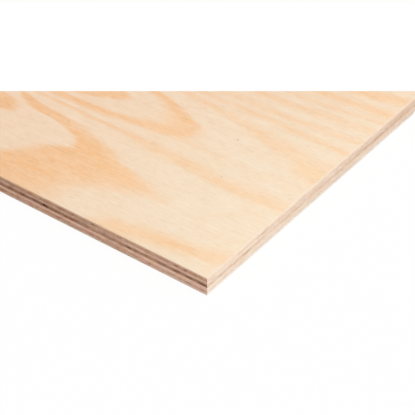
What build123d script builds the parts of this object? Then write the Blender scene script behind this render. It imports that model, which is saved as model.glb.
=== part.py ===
"""Plywood sheet: seven softwood veneers, bonded crosswise into one flat panel.

The sheet lies flat, with its good face up. The origin is at the centre of the underside, X runs along
the length of the sheet, which is also the way the grain of its face runs, and Z points up.
All sizes are in millimetres.
"""

import os

from build123d import *

# Size of the sheet
sheet_length = 2440.0
sheet_width = 1220.0

# Veneer thicknesses, from the face down; the face is the thinnest, because it is sanded the most
face_thickness = 1.4
upper_crossband_thickness = 2.2
upper_long_band_thickness = 2.8
core_thickness = 3.3
lower_long_band_thickness = 3.2
lower_crossband_thickness = 3.0
back_thickness = 2.1

# Handling eases the arrises of the two outer veneers
arris_radius = 0.4

# The core is laid from two strips of veneer, which leave a narrow gap between them
core_end_strip_width = 176.0
core_gap = 3.0

# Height of each veneer's lower face, counted up from the underside
back_base = 0.0
lower_crossband_base = back_base + back_thickness
lower_long_band_base = lower_crossband_base + lower_crossband_thickness
core_base = lower_long_band_base + lower_long_band_thickness
upper_long_band_base = core_base + core_thickness
upper_crossband_base = upper_long_band_base + upper_long_band_thickness
face_base = upper_crossband_base + upper_crossband_thickness


def outer_veneer(label, base, thickness, outer_side):
    """Face or back veneer: grain along X, with the arris of its outer side eased."""
    with BuildPart() as veneer:
        with BuildSketch(Plane.XY.offset(base)):
            Rectangle(sheet_length, sheet_width)
        extrude(amount=thickness)
        rims = veneer.edges().filter_by(GeomType.LINE).group_by(Axis.Z)
        fillet(rims[outer_side], radius=arris_radius)
    veneer.part.label = label
    return veneer.part


def inner_veneer(label, base, thickness):
    """Crossband or long band: a full sheet of veneer with square sawn edges."""
    with BuildPart() as veneer:
        with BuildSketch(Plane.XY.offset(base)):
            Rectangle(sheet_length, sheet_width)
        extrude(amount=thickness)
    veneer.part.label = label
    return veneer.part


def core_veneer(label):
    """Core: grain along Y, as an end strip and a main strip with the core gap between them."""
    core_end = sheet_length / 2
    main_strip_width = sheet_length - core_end_strip_width - core_gap
    end_strip_middle = core_end - core_end_strip_width / 2
    main_strip_middle = main_strip_width / 2 - core_end
    with BuildPart() as veneer:
        with BuildSketch(Plane.XY.offset(core_base)):
            with Locations((end_strip_middle, 0)):
                Rectangle(core_end_strip_width, sheet_width)
            with Locations((main_strip_middle, 0)):
                Rectangle(main_strip_width, sheet_width)
        extrude(amount=core_thickness)
    veneer.part.label = label
    return veneer.part


# The lay-up from the underside to the face, each veneer crossing the grain of the one below it
lay_up = [
    outer_veneer("back_veneer", back_base, back_thickness, outer_side=0),
    inner_veneer("lower_crossband", lower_crossband_base, lower_crossband_thickness),
    inner_veneer("lower_long_band", lower_long_band_base, lower_long_band_thickness),
    core_veneer("core_crossband"),
    inner_veneer("upper_long_band", upper_long_band_base, upper_long_band_thickness),
    inner_veneer("upper_crossband", upper_crossband_base, upper_crossband_thickness),
    outer_veneer("face_veneer", face_base, face_thickness, outer_side=-1),
]

os.makedirs("parts", exist_ok=True)
for ply in lay_up:
    export_step(ply, f"parts/{ply.label}.step")
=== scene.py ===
"""A full sheet of pine plywood, lying flat with its good face up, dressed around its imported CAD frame."""

import math

import bmesh
import bpy
import numpy as np
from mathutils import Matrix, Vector


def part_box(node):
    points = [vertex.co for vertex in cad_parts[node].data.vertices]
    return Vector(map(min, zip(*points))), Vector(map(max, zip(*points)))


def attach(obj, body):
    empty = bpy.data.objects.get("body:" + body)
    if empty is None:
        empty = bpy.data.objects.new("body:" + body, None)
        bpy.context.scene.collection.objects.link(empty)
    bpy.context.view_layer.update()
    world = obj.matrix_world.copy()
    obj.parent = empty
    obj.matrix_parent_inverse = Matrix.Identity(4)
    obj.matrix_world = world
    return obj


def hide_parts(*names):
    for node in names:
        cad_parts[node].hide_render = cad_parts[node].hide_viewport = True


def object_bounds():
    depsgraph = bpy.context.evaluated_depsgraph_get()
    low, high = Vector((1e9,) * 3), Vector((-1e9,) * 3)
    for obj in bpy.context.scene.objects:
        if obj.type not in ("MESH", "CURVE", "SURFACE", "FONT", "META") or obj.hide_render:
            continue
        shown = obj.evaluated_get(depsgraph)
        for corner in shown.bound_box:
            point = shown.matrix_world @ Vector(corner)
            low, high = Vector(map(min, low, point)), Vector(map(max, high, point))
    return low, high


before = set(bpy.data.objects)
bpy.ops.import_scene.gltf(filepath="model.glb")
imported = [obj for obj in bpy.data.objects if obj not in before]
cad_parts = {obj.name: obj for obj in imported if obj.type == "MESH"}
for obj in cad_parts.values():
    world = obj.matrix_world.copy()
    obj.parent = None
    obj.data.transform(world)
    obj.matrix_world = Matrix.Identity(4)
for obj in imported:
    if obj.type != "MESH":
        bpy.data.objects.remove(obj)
cad_low, cad_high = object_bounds()
scene = bpy.context.scene

# Back veneer
# The underside of the sheet: one width of pine, peeled from the log as it turns, about two millimetres
# thick. Its grain runs along the sheet, the saw cut its edges square, and handling has eased its arris.

mm = 0.001


def srgb(red, green, blue):
    """A colour as a paint chart gives it, 0 to 255, in the linear values that shaders take."""
    shares = [channel / 255 for channel in (red, green, blue)]
    return tuple(s / 12.92 if s <= 0.04045 else ((s + 0.055) / 1.055) ** 2.4 for s in shares) + (1.0,)


class Wire:
    """One value in the node tree of a shape or a finish. Sums and products of wires add Math nodes."""

    def __init__(self, tree, socket=None):
        self.tree = tree
        self.socket = socket

    def node(self, kind, settings=None, inputs=None, output=0):
        """A new node of any kind. Its settings come first, and then the values or links of its sockets."""
        made = self.tree.nodes.new(kind)
        for name, value in (settings or {}).items():
            if name == "line":
                self.draw(made.mapping, value)
            else:
                setattr(made, name, value)
        for name, value in (inputs or {}).items():
            for given in value if isinstance(value, list) else [value]:
                if isinstance(given, Wire):
                    self.tree.links.new(given.socket, made.inputs[name])
                else:
                    made.inputs[name].default_value = given
        return Wire(self.tree, made.outputs[output])

    def draw(self, mapping, line):
        """Sets the points of a curve node, which stays level past both ends of the line."""
        points = mapping.curves[0].points
        points[0].location, points[1].location = line[0], line[-1]
        for place in line[1:-1]:
            points.new(*place)
        for point in points:
            point.handle_type = "AUTO_CLAMPED"
        mapping.extend = "HORIZONTAL"
        mapping.update()

    def math(self, operation, *others):
        """A Math node that takes this value first."""
        return self.node("ShaderNodeMath", {"operation": operation}, dict(enumerate((self, *others))))

    def __add__(self, other):
        return self.math("ADD", other)

    __radd__ = __add__

    def __sub__(self, other):
        return self.math("SUBTRACT", other)

    def __rsub__(self, other):
        return self.math("MULTIPLY_ADD", -1.0, other)

    def __mul__(self, other):
        return self.math("MULTIPLY", other)

    __rmul__ = __mul__

    def __truediv__(self, other):
        return self.math("DIVIDE", other)

    def __neg__(self):
        return self.math("MULTIPLY", -1.0)

    def __abs__(self):
        return self.math("ABSOLUTE")

    def __gt__(self, other):
        return self.math("GREATER_THAN", other)

    def __lt__(self, other):
        return self.math("LESS_THAN", other)

    def over(self, other):
        """The larger of two values."""
        return self.math("MAXIMUM", other)

    def under(self, other):
        """The smaller of two values."""
        return self.math("MINIMUM", other)

    def parts(self):
        """The three parts of a vector."""
        first = self.node("ShaderNodeSeparateXYZ", {}, {0: self})
        return [Wire(self.tree, socket) for socket in first.socket.node.outputs]

    def vector(self, x, y, z):
        """A vector from its three parts."""
        return self.node("ShaderNodeCombineXYZ", {}, {"X": x, "Y": y, "Z": z})

    def step(self, low, high):
        """0 below low and 1 above high, with a smooth rise between them."""
        inputs = {"Value": self, "From Min": low, "From Max": high}
        return self.node("ShaderNodeMapRange", {"interpolation_type": "SMOOTHSTEP"}, inputs)

    def change(self, near, far, stretch):
        """A smooth change from the near value to the far one, as this value crosses a stretch."""
        return near + (far - near) * self.step(*stretch)

    def drawn(self, points, run, rise):
        """The height of a line drawn through a few given points, on paper of the given run and rise."""
        line = [(x / run, y / rise) for x, y in points]
        return self.node("ShaderNodeFloatCurve", {"line": line}, {"Value": self / run}) * rise

    def tint(self, colour, other):
        """The first colour where this value is 0, the second where it is 1."""
        settings = {"data_type": "RGBA", "clamp_factor": False}
        return self.node("ShaderNodeMix", settings, {0: self, 6: colour, 7: other}, output=2)

    def cloud(self, cell, seed, detail=2.0, roughness=0.5):
        """Noise from 0 to 1 at this place, with cells of the given size and a seed of its own."""
        scaled = self.node("ShaderNodeVectorMath", {"operation": "DIVIDE"}, {0: self, 1: cell})
        inputs = {"Vector": scaled, "W": seed, "Scale": 1.0, "Detail": detail, "Roughness": roughness}
        return self.node("ShaderNodeTexNoise", {"noise_dimensions": "4D"}, inputs)

    def layer(self, pattern, seed):
        """A layer of noise about 0: the size of its cells, its seed, detail, roughness and depth."""
        cell, own_seed, detail, roughness, depth = pattern
        return depth * (self.cloud(cell, seed + own_seed, detail, roughness) - 0.5)

    def flecks(self, pattern, seed):
        """Spots from 0 to 1: the size of their cells, their seed, detail, and noise at rim and middle."""
        cell, own_seed, detail, rim, middle = pattern
        return self.cloud(cell, seed + own_seed, detail).step(rim, middle)


# Points of a slab: their step along its sawn walls, the cells of its flat faces, and the reach of a weld
saw_step = 1.0 * mm
face_cell = 61.0 * mm
fewest_cells = 3
weld = 0.01 * mm

# Waves of the saw's wander: their length along the edge, their height and their share of its depth
saw_waves = [(90 * mm, 1.0, 0.5), (25 * mm, 1.0 * mm, 0.3), (4 * mm, 0.6 * mm, 0.2)]

# Torn fibres: the size of a tear, and the rise in its noise from rim to full depth
tear_size = (5 * mm, 5 * mm, 1.4 * mm)
tear_rise = 0.12


def slab_tree(name, rows):
    """Geometry Nodes for one strip of veneer: a closed slab between two corners, with flat faces.

    Its sawn walls have a row of points at each of these shares of its thickness. The wander of the saw,
    torn fibres and an eased arris set the walls in from the line of the cut."""
    tree = bpy.data.node_groups.new(name, "GeometryNodeTree")
    given = {"Low": "Vector", "High": "Vector", "Eased Below": "Float", "Eased Above": "Float"}
    given |= {"Wander": "Float", "Tear Share": "Float", "Tear Depth": "Float", "Seed": "Float"}
    given |= {"Finish": "Material"}
    for label, kind in given.items():
        tree.interface.new_socket(name=label, in_out="INPUT", socket_type="NodeSocket" + kind)
    tree.interface.new_socket(name="Slab", in_out="OUTPUT", socket_type="NodeSocketGeometry")
    entry = tree.nodes.new("NodeGroupInput")
    sizes = (Wire(tree, entry.outputs[label]) for label in given)
    low, high, below, above, wander, tear, depth, seed, finish = sizes
    left, front, bottom = low.parts()
    right, back, top = high.parts()
    length, width, thickness = right - left, back - front, top - bottom

    columns = (length / face_cell).math("ROUND").over(fewest_cells)
    lines = (width / face_cell).math("ROUND").over(fewest_cells)
    grid = {"Size X": length - 2 * length / columns, "Size Y": width - 2 * width / lines}
    grid |= {"Vertices X": columns - 1, "Vertices Y": lines - 1}
    middle = low.node("GeometryNodeMeshGrid", {}, grid)
    faces_beside = low.node("GeometryNodeInputMeshEdgeNeighbors")
    border = low.node("GeometryNodeMeshToCurve", {}, {"Mesh": middle, "Selection": faces_beside < 2})
    outline = {"Width": length, "Height": width}
    outline = low.node("GeometryNodeCurvePrimitiveQuadrilateral", {"mode": "RECTANGLE"}, outline)
    cut = {"Curve": outline, "Count": (2 * (length + width) / saw_step).math("ROUND")}
    cut = low.node("GeometryNodeResampleCurve", {"mode": "COUNT"}, cut)
    rim = low.node("GeometryNodeJoinGeometry", {}, {"Geometry": [cut, border]})
    rim = low.node("GeometryNodeFillCurve", {"mode": "TRIANGLES"}, {"Curve": rim})
    face = low.node("GeometryNodeJoinGeometry", {}, {"Geometry": [rim, middle]})

    def lifted(shape, height):
        moved = {"Geometry": shape, "Offset": low.vector(0, 0, height)}
        return low.node("GeometryNodeSetPosition", {}, moved)

    wall = lifted(low.node("GeometryNodeCurveToMesh", {}, {"Curve": cut}), bottom)
    last_row = True
    for share, next_share in zip(rows, rows[1:]):
        raised = low.vector(0, 0, (next_share - share) * thickness)
        row = {"Mesh": wall, "Selection": last_row, "Offset": raised, "Offset Scale": 1.0}
        wall = low.node("GeometryNodeExtrudeMesh", {"mode": "EDGES"}, row)
        last_row = Wire(tree, wall.socket.node.outputs["Top"])
    tray = low.node("GeometryNodeJoinGeometry", {}, {"Geometry": [lifted(face, bottom), wall]})
    tray = low.node("GeometryNodeFlipFaces", {}, {"Mesh": tray})
    slab = low.node("GeometryNodeJoinGeometry", {}, {"Geometry": [tray, lifted(face, top)]})
    slab = low.node("GeometryNodeMergeByDistance", {}, {"Geometry": slab, "Distance": weld})
    centre = low.vector((left + right) / 2, (front + back) / 2, 0)
    slab = low.node("GeometryNodeSetPosition", {}, {"Geometry": slab, "Offset": centre})

    place = low.node("GeometryNodeInputPosition")
    x, y, z = place.parts()
    torn = (place.cloud(tear_size, seed) + tear - 1) / tear_rise
    inset = depth * torn.over(0).under(1)
    for wave, height, share in saw_waves:
        inset = inset + wander * share * place.cloud((wave, wave, height), seed)
    for radius, rise in ((above, z - top), (below, bottom - z)):
        turn = (rise + radius).over(0)
        inset = inset + radius - (radius * radius - turn * turn).over(0).math("SQRT")
    pushes = []
    for along, start, size in ((x, left, length), (y, front, width)):
        off_centre = along - start - size / 2
        at_wall = abs(off_centre) > size / 2 - weld
        pushes.append(-off_centre.math("SIGN") * at_wall * inset)
    sawn = {"Geometry": slab, "Offset": low.vector(*pushes, 0)}
    sawn = low.node("GeometryNodeSetPosition", {}, sawn)
    sawn = low.node("GeometryNodeRealizeInstances", {}, {"Geometry": sawn})
    sawn = low.node("GeometryNodeSetMaterial", {}, {"Geometry": sawn, "Material": finish})
    leave = tree.nodes.new("NodeGroupOutput")
    tree.links.new(sawn.socket, leave.inputs["Slab"])
    return tree


def strip_mesh(tree, sizes):
    """The plain mesh of one strip of veneer that a slab tree makes from these sizes."""
    holder = bpy.data.objects.new("strip", bpy.data.meshes.new("strip"))
    scene.collection.objects.link(holder)
    shaping = holder.modifiers.new("slab", "NODES")
    shaping.node_group = tree
    for item in tree.interface.items_tree:
        if item.in_out == "INPUT":
            shaping[item.identifier] = sizes[item.name]
    seen = holder.evaluated_get(bpy.context.evaluated_depsgraph_get())
    mesh = bpy.data.meshes.new_from_object(seen)
    holder.modifiers.remove(shaping)
    bpy.data.objects.remove(holder)
    return mesh


# A piece's own map: the run of edge in one lane, and in a long lane beside a face that shows, how much of
# its lane an edge fills, and the shares of the map for glued faces, for edges and for a face that shows
lane = 305.0 * mm
long_lane = 4 * lane
lane_fill = 0.88
glued_share = 0.006
glued_fill = 0.4
edge_share = 0.12
face_start_share = 0.125
face_share = 0.865


def lay_out(mesh, low, high, showing):
    """The piece's own map for baking. Its sawn edges are laid out in lanes, one above another.

    showing is 1 where the top face shows, -1 where the underside does and 0 where both are glued. A face
    that shows takes most of the map, with longer lanes beside it, and a glued one only a sliver."""
    corners = np.empty(len(mesh.loops), int)
    mesh.loops.foreach_get("vertex_index", corners)
    places = np.empty(len(mesh.vertices) * 3)
    mesh.vertices.foreach_get("co", places)
    x, y, z = places.reshape(-1, 3)[corners].T
    first = np.empty(len(mesh.polygons), int)
    mesh.polygons.foreach_get("loop_start", first)
    face_of = np.repeat(np.arange(len(first)), np.diff(np.append(first, len(corners))))

    def middle(values):
        return ((np.minimum.reduceat(values, first) + np.maximum.reduceat(values, first)) / 2)[face_of]

    flat = (np.maximum.reduceat(z, first) - np.minimum.reduceat(z, first) < weld)[face_of]
    length, width = high.x - low.x, high.y - low.y
    runs = [x - low.x, y - low.y + length, high.x - x + length + width, high.y - y + 2 * length + width]
    depths = np.abs([middle(y) - low.y, middle(x) - high.x, middle(y) - high.y, middle(x) - low.x])
    run = np.choose(depths.argmin(0), runs)
    glued = flat | (depths.min(0) > mm)
    span = long_lane if showing else lane
    lanes = round(2 * (length + width) / span)
    lane_height = (edge_share if showing else 1 - glued_share) / lanes
    number = np.floor(middle(run) / span)
    u = run / span - number
    v = (number + 0.5 + lane_fill * ((z - low.z) / (high.z - low.z) - 0.5)) * lane_height
    along, across = (x - low.x) / length, (y - low.y) / width
    u[glued] = along[glued]
    v[glued] = (1 - glued_share / 2 + glued_share * glued_fill * across)[glued]
    if showing:
        shown = flat & ((middle(z) > (low.z + high.z) / 2) == (showing > 0))
        v[shown] = (face_start_share + face_share * across)[shown]
    layer = mesh.uv_layers.new(name="OFBake")
    layer.uv.foreach_set("vector", np.stack([u, v], 1).astype(np.float32).ravel())


arris_radius = 0.4 * mm
saw_wander = 0.22 * mm
tear_depth = 0.5 * mm
crease_angle = math.radians(38)
next_strip_seed = 0.5


def veneer(name, node, finish, tree, seed, tear, showing=0, joint=None):
    """Makes a veneer from its CAD node's box, hides that node and puts the new piece in its place.

    tear, from 0 to 1, is how much of its edges tore. joint is the place and width of a gap across the
    sheet, where the veneer is laid from two strips."""
    low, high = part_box(node)
    ends = [(low.x, high.x)]
    if joint:
        ends = [(low.x, joint[0] - joint[1] / 2), (joint[0] + joint[1] / 2, high.x)]
    sizes = {"Wander": saw_wander, "Tear Share": tear, "Tear Depth": tear_depth, "Finish": finish}
    sizes |= {"Eased Below": arris_radius * (showing < 0), "Eased Above": arris_radius * (showing > 0)}
    shell = bmesh.new()
    for number, (left, right) in enumerate(ends):
        sizes |= {"Low": (left, low.y, low.z), "High": (right, high.y, high.z)}
        sizes |= {"Seed": seed + next_strip_seed * number}
        shell.from_mesh(strip_mesh(tree, sizes))
    mesh = bpy.data.meshes.new(name)
    shell.to_mesh(mesh)
    shell.free()
    mesh.materials.append(finish)
    mesh.shade_smooth()
    mesh.set_sharp_from_angle(angle=crease_angle)
    lay_out(mesh, low, high, showing)
    piece = bpy.data.objects.new(name, mesh)
    scene.collection.objects.link(piece)
    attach(piece, "root")
    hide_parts(node)


def new_finish(name):
    """An empty finish: its material, the place on the sheet and its shader."""
    finish = bpy.data.materials.new(name)
    finish.use_nodes = True
    tree = finish.node_tree
    tree.nodes.clear()
    shader = tree.nodes.new("ShaderNodeBsdfPrincipled")
    surface = tree.nodes.new("ShaderNodeOutputMaterial")
    tree.links.new(shader.outputs[0], surface.inputs["Surface"])
    return finish, Wire(tree).node("ShaderNodeTexCoord", output="Object"), shader


wood_gloss = 0.25


def dress(shader, colour, roughness, height, depth):
    """Links a pattern's colour, roughness and relief to its shader. depth is the relief's full height."""
    links = colour.tree.links
    links.new(colour.socket, shader.inputs["Base Color"])
    links.new(roughness.socket, shader.inputs["Roughness"])
    relief = colour.node("ShaderNodeBump", {}, {"Strength": 1.0, "Distance": depth, "Height": height})
    links.new(relief.socket, shader.inputs["Normal"])
    shader.inputs["Specular IOR Level"].default_value = wood_gloss


def facing(place):
    """The three parts of the way that the surface faces."""
    return place.node("ShaderNodeNewGeometry", output="True Normal").parts()


def from_corner(place):
    """How far a place lies from the right end and from the front edge, in mm."""
    x, y, _ = place.parts()
    return (cad_high.x - x) / mm, (y - cad_low.y) / mm


def to_edges(place):
    """How far a place lies from the nearer end and from the nearer long edge, in mm."""
    x, y, _ = place.parts()
    from_right, from_front = from_corner(place)
    return from_right.under((x - cad_low.x) / mm), from_front.under((cad_high.y - y) / mm)


# Layers of tone on a sawn edge: the size of their cells, their seed, detail, roughness and depth
edge_layers = [
    ((40 * mm, 40 * mm, 0.8 * mm), 0, 3.0, 0.5, 1.2),
    ((7 * mm, 7 * mm, 3 * mm), 3, 3.0, 0.6, 3.2),
    ((90 * mm, 90 * mm, 1), 6, 2.0, 0.5, 2.2),
]
pores = ((0.4 * mm, 0.4 * mm, 0.5 * mm), 10, 2.0, 0.5, 1.2)
fine_streaks = ((26 * mm, 26 * mm, 0.3 * mm), 11, 3.0, 0.5, 1.6)
edge_hue = ((11 * mm, 11 * mm, 5 * mm), 12, 2.0, 0.5, 0.05)
edge_warmth = ((16 * mm, 16 * mm, 6 * mm), 15, 2.0, 0.5, 0.6)
unchanged_hue = 0.5

# Checks of the lathe in cut fibres, as flecks: their cells, seed and detail, rim and middle, lean and depth
checks = ((1.1 * mm, 1.1 * mm, 6 * mm), 9, 2.0, 0.60, 0.72)
check_lean = 0.7
check_depth = 0.7

# Painted shade: edges are paler by the front right corner and darker further on, where less light falls.
# What is added to their tone there, what further on, and the stretch in mm between
long_edge_painted_shade = (0.3, -0.45, (0, 240))
short_edge_painted_shade = (0.35, -0.85, (0, 330))

# Tones of an edge, where 0 is its dark tone and 1 its pale one, and the glue line at a ply's two faces
middle_tone = 0.55
darkest_tone = -1.1
palest_tone = 1.3
glue_depth = 0.6
glue_line = (0.05 * mm, 0.25 * mm)

# Marks fade out over this height in mm, between these shares of their reach
mark_reach = 1.8
mark_fading = (0.1, 1.0)
clearly_facing = 0.5


def sawn_edge(place, node, edge, grain, seed, marks):
    """Colour and tone of a veneer's sawn edges.

    edge has the pale and the dark tone of its long edges, and then those of its short ones. grain is the
    way the fibres run, along or across the sheet. Edges that cut them show pores and the slanted checks of
    the lathe, and edges that follow them show fine streaks. Glue darkens the ply's two faces. marks are
    spots by the front right corner: the edge they are on, how far they lie from the corner, their height in
    the ply, half their length and their depth of tone, which is below 0 where they are pale. Small dark
    marks are partly painted shade, in torn-out pits and beside the core's joint gap."""
    low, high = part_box(node)
    (long_pale, long_dark), (short_pale, short_dark) = [[srgb(*tone) for tone in pair] for pair in edge]
    x, y, z = place.parts()
    nx, ny, _ = facing(place)
    from_right, from_front = from_corner(place)
    to_end, to_long_edge = to_edges(place)
    on_short = to_end < to_long_edge
    on_long = 1 - on_short
    # painted shade: paler by the front right corner, darker further on
    fading = on_short * from_front.change(*short_edge_painted_shade) + on_long * from_right.change(*long_edge_painted_shade)
    tone = middle_tone + fading
    for pattern in edge_layers:
        tone = tone + place.layer(pattern, seed)
    slanted = place.vector(x + check_lean * z, y + check_lean * z, z)
    end_grain = place.layer(pores, seed) - check_depth * slanted.flecks(checks, seed)
    side_grain = place.layer(fine_streaks, seed)
    cut, followed = (on_short, on_long) if grain == "along" else (on_long, on_short)
    tone = tone + cut * end_grain + followed * side_grain
    ways = {"front": (from_right, ny < -clearly_facing), "right": (from_front, nx > clearly_facing)}
    for side, distance, height, half_length, depth in marks:
        along, on_side = ways[side]
        far = abs(along - distance) / half_length + abs((z - low.z) / mm - height) / mark_reach
        tone = tone - depth * (1 - far.step(*mark_fading)) * on_side
    glue = 1 - (z - low.z).under(high.z - z).step(*glue_line)
    tone = (tone - glue_depth * glue).over(darkest_tone).under(palest_tone)
    colour = on_short.tint(tone.tint(long_dark, long_pale), tone.tint(short_dark, short_pale))
    shift = {"Color": colour, "Hue": unchanged_hue + place.layer(edge_hue, seed)}
    shift |= {"Saturation": 1 + place.layer(edge_warmth, seed)}
    return colour.node("ShaderNodeHueSaturation", {}, shift), tone


def late_wood(share, rise, fall):
    """Late wood across a growth ring, which rises over one stretch of the ring and falls over another."""
    return share.step(*rise) * (1 - share.step(*fall))


# Growth rings over a whole sheet: the cells of their rise and their wobble, the rings in each, their
# spacing across the sheet, the spots where they are strong, and where late wood rises and falls in a ring
ring_rise_cell = (900 * mm, 150 * mm, 1)
ring_wobble_cell = (90 * mm, 8 * mm, 1)
rings_in_rise = 13
rings_in_wobble = 0.2
ring_spacing = 130 * mm
strong_rings = ((500 * mm, 110 * mm, 1), 4, 2.0, 0.25, 0.75)
wild_late = (0.35, 0.85), (0.95, 1.0)


def wild_figure(place, seed):
    """Late wood over a whole sheet, from 0 to 1: growth rings in long flames, as the knife meets them."""
    _, y, _ = place.parts()
    rise = place.cloud(ring_rise_cell, seed, detail=1.5, roughness=0.4)
    wobble = place.cloud(ring_wobble_cell, seed + 2, detail=3.0)
    rings = rings_in_rise * rise + y / ring_spacing + rings_in_wobble * wobble
    return late_wood(rings.math("FRACT"), *wild_late) * place.flecks(strong_rings, seed)


# Streaks of the fibres along the grain, as layers of noise, with the dark dashes of resin ducts among them
fibre_layers = [
    ((45 * mm, 2.4 * mm, 1), 0, 4.0, 0.65, 1.0),
    ((13 * mm, 6 * mm, 1), 2.5, 2.0, 0.5, 0.8),
    ((25 * mm, 0.5 * mm, 1), 3.5, 2.0, 0.5, 0.5),
]
ducts = ((16 * mm, 1.5 * mm, 1), 1.5, 1.0, 0.66, 0.78)
duct_depth = 0.25


def fibres(place, seed):
    """Streaks of the fibres, about 0."""
    streaks = duct_depth * place.flecks(ducts, seed)
    for pattern in fibre_layers:
        streaks = streaks + place.layer(pattern, seed)
    return streaks


# Short dashes that sanding leaves in the open pores
dashes = ((7 * mm, 1.3 * mm, 1), 0, 2.0, 0.6, 1.0)
open_pores = ((8 * mm, 1.6 * mm, 1), 1.5, 1.0, 0.62, 0.74)
open_pore_depth = 0.4


def grit(place, seed):
    """Short dark and pale dashes, about 0."""
    return place.layer(dashes, seed) + open_pore_depth * place.flecks(open_pores, seed)


# Patches and fibres change the tone, and fibres and grit the brightness, by so much on early and late wood
patches = ((70 * mm, 14 * mm, 1), 5, 3.0, 0.5, 1.0)
patch_early, patch_late = 0.3, 0.6
fibre_early, fibre_late = 0.6, 0.3
fibre_shade = 0.08
grit_early, grit_late = 0.17, 0.09

# A resin streak fades between these shares of its half-length and of its half-width
resin_end_fading = (0.5, 1.0)
resin_side_fading = (0.2, 1.0)

# Painted highlight with lifted fibres: along both ends the face is paler and less saturated, as along a lit
# arris, where the saw lifts pale fibres. How unevenly, how far in mm, and how much paler it is
fraying_and_highlight = ((60 * mm, 4 * mm, 1), 13, 3.0, 0.5, 2.4)
fray_highlight_reach = (0.6, 3.0)
fray_highlight_bleach = 0.24
fray_highlight_light = 0.01

# Wear and painted shade carry the tone of the edge over the arris: how much at the rim and past it, and the
# stretch in mm
arris_wear_and_shade = (0.6, 0, (0.2, 1.3))

# Between these leans a surface turns from a sawn edge into a face
face_lean = (0.35, 0.75)
glued_face = srgb(226, 190, 156)

# Roughness and relief of a peeled face
face_roughness = 0.62
fibre_roughness = 0.15
late_relief = 0.3
face_relief = 0.06 * mm


def peeled_pine(name, node, edge, figure, pale, deep, outer_side, seed, marks, resin=()):
    """An outer veneer: its figure on the side that shows, and its sawn edges.

    resin is a list of thin dark streaks by the front right corner: how far from the right end and from the
    front edge their middle lies, half their length, half their width and their depth."""
    finish, place, shader = new_finish(name)
    *_, nz = facing(place)
    from_right, from_front = from_corner(place)
    to_end, to_long_edge = to_edges(place)
    late, fibre, patch = figure(place, seed), fibres(place, seed + 1), place.layer(patches, seed)
    grain = late + (patch_early + patch_late * late) * patch + (fibre_early + fibre_late * late) * fibre
    bright = 1 - fibre_shade * fibre - (grit_early + grit_late * late) * grit(place, seed + 2)
    for inward, across, half_length, half_width, depth in resin:
        lengthwise = 1 - (abs(from_right - inward) / half_length).step(*resin_end_fading)
        sideways = 1 - (abs(from_front - across) / half_width).step(*resin_side_fading)
        bright = bright - depth * lengthwise * sideways
    # painted highlight with lifted fibres: a paler, less saturated strip along both ends
    frayed_and_lit = 1 - (to_end + place.layer(fraying_and_highlight, seed)).step(*fray_highlight_reach)
    face = {"Color": grain.tint(pale(place, seed), deep(place, seed))}
    face |= {"Saturation": 1 - fray_highlight_bleach * frayed_and_lit, "Value": bright + fray_highlight_light * frayed_and_lit}
    face = place.node("ShaderNodeHueSaturation", {}, face)
    rim, _ = sawn_edge(place, node, edge, "along", seed, marks)
    # painted shade on the arris, with wear: the face takes the edge's tone by its rim
    worn_and_shaded = to_end.under(to_long_edge).change(*arris_wear_and_shade)
    shown = (outer_side * nz).step(*face_lean)
    colour = shown.tint(abs(nz).step(*face_lean).tint(rim, glued_face), worn_and_shaded.tint(face, rim))
    roughness = face_roughness + fibre_roughness * fibre
    dress(shader, colour, roughness, late_relief * late + fibre, face_relief)
    return finish


def same_all_over(colour):
    """A tone that does not change along the sheet."""
    return lambda place, seed: colour


back_pale = same_all_over(srgb(249, 227, 199))
back_deep = same_all_over(srgb(243, 196, 149))
back_edge = ((250, 219, 200), (226, 192, 170)), ((255, 244, 232), (247, 233, 220))
back_marks = [("front", 40, 0.2, 260, 0.9), ("right", 230, 1.0, 150, -0.9), ("right", 170, 1.0, 60, -0.3)]
back_rows = (0, 0.03, 0.08, 0.2, 0.6, 1)
back_tree = slab_tree("back veneer slab", back_rows)
back_finish = peeled_pine(
    "back pine", "back_veneer", back_edge, wild_figure, back_pale, back_deep,
    outer_side=-1, seed=31.0, marks=back_marks,
)
veneer(
    "pine_back", "back_veneer", back_finish, back_tree,
    seed=11.0, tear=0.30, showing=-1,
)

# Lower crossband
# Pine veneer with its grain across the sheet, glued on the back veneer. The long edges of the sheet cut
# its end grain, which shows dark there, and the short edges cut it along the grain, where it stays pale.

band_rows = (0, 0.25, 0.5, 0.75, 1)
band_tree = slab_tree("band slab", band_rows)
crossband_tear = 0.34

# Roughness and relief of a sawn edge, where pale tones are smoother
sawn_roughness = 0.75
pale_gloss = 0.1
sawn_relief = 0.12 * mm


def band(name, node, edge, grain, seed, marks):
    """An inner veneer, of which only the sawn edges show."""
    finish, place, shader = new_finish(name)
    *_, nz = facing(place)
    rim, tone = sawn_edge(place, node, edge, grain, seed, marks)
    colour = abs(nz).step(*face_lean).tint(rim, glued_face)
    dress(shader, colour, sawn_roughness - pale_gloss * tone, tone, sawn_relief)
    return finish


lower_crossband_edge = ((230, 187, 162), (200, 157, 132)), ((247, 230, 213), (234, 214, 195))
lower_crossband_marks = [
    ("front", 10, 1.5, 50, 0.6), ("front", 60, 1.4, 3, 1.0), ("front", 162, 1.8, 4, 0.8),
    ("front", 200, 1.5, 50, -0.4), ("right", 25, 1.5, 60, 0.8), ("right", 175, 1.5, 70, -0.8),
    ("right", 190, 1.6, 12, 0.7), ("right", 275, 1.2, 90, -0.4),
]
lower_crossband_finish = band(
    "lower crossband pine", "lower_crossband", lower_crossband_edge, "across",
    seed=32.0, marks=lower_crossband_marks,
)
veneer(
    "lower_crossband_ply", "lower_crossband", lower_crossband_finish, band_tree,
    seed=12.0, tear=crossband_tear,
)

# Lower long band
# Pine veneer with its grain along the sheet again, glued over the crossband. The long edges of the sheet
# follow its fibres, so it is the lightest line there.

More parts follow.
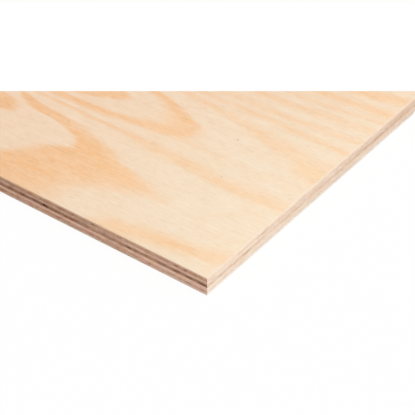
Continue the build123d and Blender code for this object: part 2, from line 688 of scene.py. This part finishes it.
long_band_tear = 0.28
lower_long_band_edge = ((251, 209, 183), (226, 181, 156)), ((253, 231, 209), (244, 218, 194))
lower_long_band_marks = [
    ("front", 10, 1.6, 50, 0.5), ("front", 132, 1.6, 45, -0.45), ("front", 205, 1.6, 40, 0.3),
    ("right", 265, 1.6, 90, 0.45),
]
lower_long_band_finish = band(
    "lower long band pine", "lower_long_band", lower_long_band_edge, "along",
    seed=33.0, marks=lower_long_band_marks,
)
veneer(
    "lower_long_band_ply", "lower_long_band", lower_long_band_finish, band_tree,
    seed=13.0, tear=long_band_tear,
)

# Core
# The middle veneer of pine, grain across the sheet, laid from two strips that leave a narrow gap between
# them. Its end grain is the darkest line on the long edges.

core_joint = (cad_high.x - 177.5 * mm, 3.0 * mm)
core_edge = ((194, 149, 121), (151, 106, 80)), ((247, 222, 199), (230, 201, 175))
# painted shade: the darkest mark, 177 mm from the right end, sits beside the joint gap
core_marks = [
    ("front", 2, 1.6, 12, 0.8), ("front", 16, 1.6, 12, 0.3), ("front", 81, 1.4, 9, 1.0),
    ("front", 177, 1.6, 7, 1.8), ("front", 203, 2.4, 8, 0.6), ("front", 110, 3.3, 260, -0.3),
    ("right", 20, 1.6, 50, 1.1), ("right", 57, 1.6, 13, 0.9), ("right", 107, 1.6, 13, 0.9),
    ("right", 128, 1.6, 12, 0.8), ("right", 260, 1.6, 90, 0.35),
]
core_finish = band("core pine", "core_crossband", core_edge, "across", seed=54.0, marks=core_marks)
veneer(
    "core_ply", "core_crossband", core_finish, band_tree,
    seed=14.0, tear=crossband_tear, joint=core_joint,
)

# Upper long band
# The second pine veneer with its grain along the sheet, glued over the core. On the long edges it shows a
# little darker than the lower one.

upper_long_band_edge = ((234, 191, 165), (198, 157, 133)), ((254, 231, 209), (240, 212, 189))
upper_long_band_marks = [("right", 260, 1.4, 100, -0.4), ("right", 215, 1.4, 75, -0.5)]
upper_long_band_finish = band(
    "upper long band pine", "upper_long_band", upper_long_band_edge, "along",
    seed=35.0, marks=upper_long_band_marks,
)
veneer(
    "upper_long_band_ply", "upper_long_band", upper_long_band_finish, band_tree,
    seed=15.0, tear=long_band_tear,
)

# Upper crossband
# The pine crossband that the face is glued on. A few fibres tore out of its end grain near the front right
# corner, and the shade in these pits is painted there as dark spots.

upper_crossband_edge = ((216, 171, 142), (183, 137, 107)), ((252, 229, 208), (238, 210, 188))
upper_crossband_marks = [
    ("front", 12, 1.1, 50, 0.6), ("front", 12, 1.1, 4, 0.8), ("front", 23, 0.8, 3, 1.2),
    ("front", 32, 1.2, 4, 1.4), ("front", 122, 1.2, 6, 1.2), ("front", 145, 1.2, 4, 1.0),
    ("right", 78, 0.5, 9, 1.5), ("right", 107, 0.5, 6, 1.2), ("right", 260, 1.1, 110, -0.7),
]
upper_crossband_finish = band(
    "upper crossband pine", "upper_crossband", upper_crossband_edge, "across",
    seed=36.0, marks=upper_crossband_marks,
)
veneer(
    "upper_crossband_ply", "upper_crossband", upper_crossband_finish, band_tree,
    seed=16.0, tear=crossband_tear,
)

# Face veneer
# The good side: clear pine, sanded thin, with the figure that peeling gives it. The two flames and the
# lines by the front right corner are drawn from given points, and the rings wander freely over the rest.

drawing_length = 1000.0
drawing_width = 420.0

# Outlines of the flames: for each distance from the front edge, how far from the right end they lie
broad_outside = [
    (0, 148), (26, 150), (41, 124), (50, 98), (60, 72), (72, 104), (83, 146), (95, 172), (103, 203),
    (107, 240), (110, 281), (114, 293), (118, 303), (121, 335), (122, 1000),
]
broad_inside = [
    (0, 292), (42, 248), (62, 230), (72, 213), (80, 211), (87, 226), (94, 248), (98, 284), (104, 298),
    (110, 309), (114, 330), (116, 420), (118, 1000),
]
heart_outside = [
    (46, 1000), (58, 520), (70, 355), (79, 307), (86, 294), (93, 295), (100, 309), (105, 375), (108, 520),
    (111, 1000),
]
narrow_outside = [
    (120, 1000), (124, 480), (128, 290), (131, 225), (134, 192), (137, 166), (140, 148), (145, 137),
    (154, 131), (164, 132), (180, 162), (193, 203), (202, 270), (208, 430), (213, 1000),
]
narrow_inside = [
    (126, 1000), (131, 500), (136, 310), (140, 240), (144, 210), (149, 196), (158, 189), (168, 188),
    (180, 204), (193, 250), (200, 340), (206, 1000),
]
inner_outside = [
    (130, 1000), (135, 480), (139, 300), (143, 264), (150, 246), (156, 232), (161, 223), (167, 221),
    (173, 227), (180, 250), (190, 340), (196, 480), (202, 1000),
]
heart_width = 50
inner_width = 60

# Late wood across each flame: the stretches where it rises and falls, and its depth
broad_late = (0.0, 0.45), (0.9, 1.06)
broad_depth, broad_gain = 0.8, 0.2
heart_late = (-0.2, 0.2), (0.7, 1.3)
heart_depth = 0.9
narrow_late = (-0.25, 0.2), (0.35, 1.05)
narrow_depth = (0.8, 1.0, (150, 230))
inner_late = (-0.15, 0.1), (0.3, 1.0)
inner_depth = 0.9

# Lines that bend: for each distance from the right end, how far from the front edge they lie
valley_line = [
    (0, 112), (60, 111), (100, 114), (150, 117), (200, 119), (250, 120.5), (300, 121), (1000, 123),
]
valley_half_width = (9.0, 2.4, (90, 235))
valley_depth = (0.48, 0.64, (0, 250))
upper_line = [
    (0, 170), (20, 174), (40, 183), (60, 188), (80, 192), (110, 198), (140, 202), (185, 207), (300, 216),
    (1000, 226),
]
upper_half_width = [(0, 21), (40, 13), (80, 9), (110, 7.5), (150, 5), (1000, 3)]
upper_depth = 0.5

# Lines that end straight: distance from the front edge at the right end, slope there, half-width and depth
straight_lines = [
    (213.5, 0.035, 4.8, 0.48), (236, -0.06, 6.0, 0.40), (258, -0.09, 6.5, 0.42), (275, -0.08, 4.5, 0.38),
    (291, -0.07, 8.0, 0.62), (320, -0.22, 9.0, 0.72),
]
straight_length = 90.0

# Short lines, one across the corner and one off the narrow flame: the same values, with their change of
# depth and the stretch where they end
short_lines = [
    (28, -0.2, 10.0, (0.54, 0.70, (0, 60)), (100, 140)),
    (139, 0.02, 5.5, (0.0, 0.3, (60, 105)), (150, 190)),
]

# Lines fade out between these shares of their half-width
stroke_fading = (0.0, 1.6)

# Unevenness of the drawing in mm: the flames' feathered ends, the lines' ripple and the join to wild rings
feather = ((160 * mm, 3.5 * mm, 1), 8, 3.0, 0.6, 24)
ripple = ((70 * mm, 9 * mm, 1), 7, 3.0, 0.5, 7)
join = ((200 * mm, 24 * mm, 1), 9, 3.0, 0.5, 1.0)
join_inward, inward_limits = 700, (420, 760)
join_across, across_limits = 140, (345, 450)


def placed_figure(place, seed):
    """Late wood from 0 to 1, with the figure of the front right corner in its place."""
    from_right, from_front = from_corner(place)
    inward = from_right + place.layer(feather, seed)
    across = from_front + place.layer(ripple, seed)

    def flame(outline):
        return across.drawn(outline, drawing_width, drawing_length)

    def ring(outside, inside):
        return (inward - flame(outside)) / (flame(inside) - flame(outside)).over(1)

    def line(points):
        return inward.drawn(points, drawing_length, drawing_width)

    def stroke(middle, half_width, depth):
        return depth * (1 - (abs(across - middle) / half_width).step(*stroke_fading))

    broad_ring = ring(broad_outside, broad_inside)
    broad = late_wood(broad_ring, *broad_late) * (broad_depth + broad_gain * broad_ring)
    heart = heart_depth * late_wood((inward - flame(heart_outside)) / heart_width, *heart_late)
    narrow = late_wood(ring(narrow_outside, narrow_inside), *narrow_late) * inward.change(*narrow_depth)
    inner = inner_depth * late_wood((inward - flame(inner_outside)) / inner_width, *inner_late)
    valley = stroke(line(valley_line), inward.change(*valley_half_width), inward.change(*valley_depth))
    upper = stroke(line(upper_line), line(upper_half_width), upper_depth)
    figure = broad.over(heart).over(narrow).over(inner).over(valley).over(upper)
    for start, slope, half_width, depth, end in short_lines:
        short = stroke(start + slope * inward, half_width, inward.change(*depth))
        figure = figure.over(short * inward.change(1, 0, end))
    for start, slope, half_width, depth in straight_lines:
        figure = figure.over(stroke(start + slope * inward.under(straight_length), half_width, depth))
    uneven = place.layer(join, seed)
    past_drawing = (inward + join_inward * uneven).step(*inward_limits)
    past_drawing = past_drawing.over((across + join_across * uneven).step(*across_limits))
    return figure * (1 - past_drawing) + wild_figure(place, seed) * past_drawing


# Painted shade: the face darkens away from the front right corner, where less light falls, over these
# stretches in mm, with pale patches beyond
level_width = 150
slower_across = 0.6
painted_shade_reach = (0, 330)
patch_reach = (330, 600)
pale_patches = ((700 * mm, 130 * mm, 1), 11, 3.0, 0.4, 0.65)
pale_patch_depth = 0.8


def shaded_away_from_corner(near, far):
    """A tone paler by the front right corner and darker away from it, as painted shade, and paler in places
    all over the sheet.
    """

    def tone(place, seed):
        from_right, from_front = from_corner(place)
        away = from_right + slower_across * (from_front - level_width).over(0)
        paler = pale_patch_depth * place.flecks(pale_patches, seed) * away.step(*patch_reach)
        # painted shade: the far tone takes over away from the corner
        return (away.step(*painted_shade_reach) - paler).tint(near, far)

    return tone


# Each tone by the corner, then darker further away as painted shade
face_pale = shaded_away_from_corner(srgb(248, 226, 198), srgb(242, 212, 183))
face_deep = shaded_away_from_corner(srgb(252, 206, 157), srgb(241, 192, 146))
face_edge = ((224, 186, 156), (206, 166, 136)), ((250, 228, 204), (242, 215, 190))
face_marks = [
    ("front", 200, 0.8, 50, -0.5), ("right", 138, 0.6, 5, 1.8), ("right", 84, 0.4, 8, 0.8),
    ("right", 290, 0.7, 80, -0.5), ("right", 40, 0.7, 60, -0.4),
]
face_resin = [
    (216, 62, 20, 1.4, 0.09), (99, 142.7, 16, 1.2, 0.05), (78, 165.3, 8, 1.2, 0.07),
    (95, 172.4, 1.6, 1.6, 0.22), (73, 117.8, 1.4, 1.6, 0.16),
]
face_rows = (0, 0.4, 0.7, 0.87, 0.96, 1)
face_tree = slab_tree("face veneer slab", face_rows)
face_finish = peeled_pine(
    "face pine", "face_veneer", face_edge, placed_figure, face_pale, face_deep,
    outer_side=1, seed=37.0, marks=face_marks, resin=face_resin,
)
veneer(
    "pine_face", "face_veneer", face_finish, face_tree,
    seed=17.0, tear=0.28, showing=1,
)

# Floor
# A wide, plain, matt floor of pale grey, which the sheet lies on. It shows white to the camera and keeps a
# faint shadow of the sheet.

floor_size = 60.0
floor_drop = 0.2 * mm
floor_grey = (0.92, 0.92, 0.92, 1.0)
floor_roughness = 0.9
floor_white = 0.95
pure_white = (1.0, 1.0, 1.0, 1.0)


def seen_directly(wire):
    """1 where the camera, a mirror or a clear piece looks at this surface, 0 where it only gives light."""
    kinds = ("Is Camera Ray", "Is Glossy Ray", "Is Transmission Ray")
    camera_ray, glossy_ray, clear_ray = (wire.node("ShaderNodeLightPath", output=kind) for kind in kinds)
    return camera_ray.over(glossy_ray).over(clear_ray)


floor_finish, floor_place, floor_shader = new_finish("studio floor")
floor_shader.inputs["Base Color"].default_value = floor_grey
floor_shader.inputs["Roughness"].default_value = floor_roughness
floor_shader.inputs["Specular IOR Level"].default_value = 0.0
floor_tree = floor_finish.node_tree
white = floor_place.node("ShaderNodeEmission", {}, {"Color": pure_white, "Strength": 1.0})
lit = Wire(floor_tree, floor_shader.outputs[0])
floor_mix = {0: floor_white * seen_directly(lit), 1: lit, 2: white}
floor_look = floor_place.node("ShaderNodeMixShader", {}, floor_mix)
floor_surface = next(n for n in floor_tree.nodes if n.type == "OUTPUT_MATERIAL")
floor_tree.links.new(floor_look.socket, floor_surface.inputs["Surface"])
half_floor = floor_size / 2
floor_signs = ((-1, -1), (1, -1), (1, 1), (-1, 1))
floor_corners = [(sx * half_floor, sy * half_floor, -floor_drop) for sx, sy in floor_signs]
floor_mesh = bpy.data.meshes.new("studio_floor")
floor_mesh.from_pydata(floor_corners, [], [(0, 1, 2, 3)])
floor_mesh.materials.append(floor_finish)
floor = bpy.data.objects.new("studio_floor", floor_mesh)
scene.collection.objects.link(floor)

# Light
# A soft key lamp, high on the right and a little behind, as from a large diffuser. An even white surround
# fills its shadows.

ambient = 0.50
world = bpy.data.worlds.new("studio")
world.use_nodes = True
scene.world = world
world_tree = world.node_tree
world_tree.nodes.clear()
surround = Wire(world_tree)
sky = {"Color": pure_white, "Strength": ambient + (1 - ambient) * seen_directly(surround)}
sky = surround.node("ShaderNodeBackground", {}, sky)
world_out = world_tree.nodes.new("ShaderNodeOutputWorld")
world_tree.links.new(sky.socket, world_out.inputs["Surface"])

key_from = Vector((0.45, 0.15, 1.0))
key = bpy.data.lights.new("key", "SUN")
key.energy = 1.70
key.angle = math.radians(40)
key_lamp = bpy.data.objects.new("key", key)
key_lamp.rotation_mode = "QUATERNION"
key_lamp.rotation_quaternion = key_from.to_track_quat("Z", "Y")
scene.collection.objects.link(key_lamp)

# Camera
# A long lens that looks down on the front right corner from about a metre away. It sees no further than the
# picture's own cut.

near_corner = Vector((cad_high.x, cad_low.y, cad_low.z))
camera_offset = Vector((498.5, -659.6, 734.1)) * mm
azimuth = math.radians(37.067)
pitch = math.radians(37.875)
picture_cut = 1310.9 * mm
camera_data = bpy.data.cameras.new("camera")
camera_data.sensor_width = 36.0
camera_data.lens = 117.8
camera_data.clip_start = 50 * mm
camera_data.clip_end = picture_cut
camera = bpy.data.objects.new("camera", camera_data)
camera.location = near_corner + camera_offset
level = math.cos(pitch)
back_way = Vector((math.sin(azimuth) * level, -math.cos(azimuth) * level, math.sin(pitch)))
camera.rotation_mode = "QUATERNION"
camera.rotation_quaternion = (-back_way).to_track_quat("-Z", "Y")
scene.collection.objects.link(camera)
scene.camera = camera
scene.view_settings.view_transform = "Standard"
